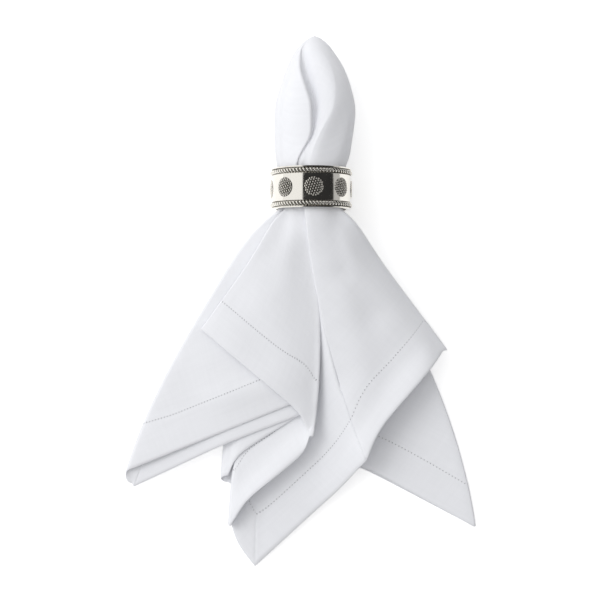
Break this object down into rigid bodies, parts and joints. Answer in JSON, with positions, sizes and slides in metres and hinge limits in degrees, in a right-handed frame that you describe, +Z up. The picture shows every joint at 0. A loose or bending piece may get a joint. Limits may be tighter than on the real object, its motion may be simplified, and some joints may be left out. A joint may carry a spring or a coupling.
{
  "type": "napkin in a ring",
  "caption": "White hemstitched linen napkin pulled through a polished metal ring with rope edges and beaded bosses, gathered into a plume above and a spread skirt below.",
  "frame": {"origin": "middle of the bounding box, on the table that the napkin lies on", "axes": "+Z up from the table, +Y along the ring's axis from the skirt to the plume, +X to the right seen from above"},
  "size_m": [0.2092, 0.3136, 0.0481],
  "materials": {
    "linen": "plain woven white linen, pressed",
    "silver": "polished silver plate, slightly darkened in its recesses"
  },
  "bodies": {
    "root": {"napkin": "linen", "ring_band": "silver", "rope_rim_upper": "silver", "rope_rim_lower": "silver", "boss_1": "silver", "boss_2": "silver", "boss_3": "silver", "boss_4": "silver", "boss_5": "silver", "boss_6": "silver", "boss_7": "silver", "boss_8": "silver"}
  },
  "joints": []
}
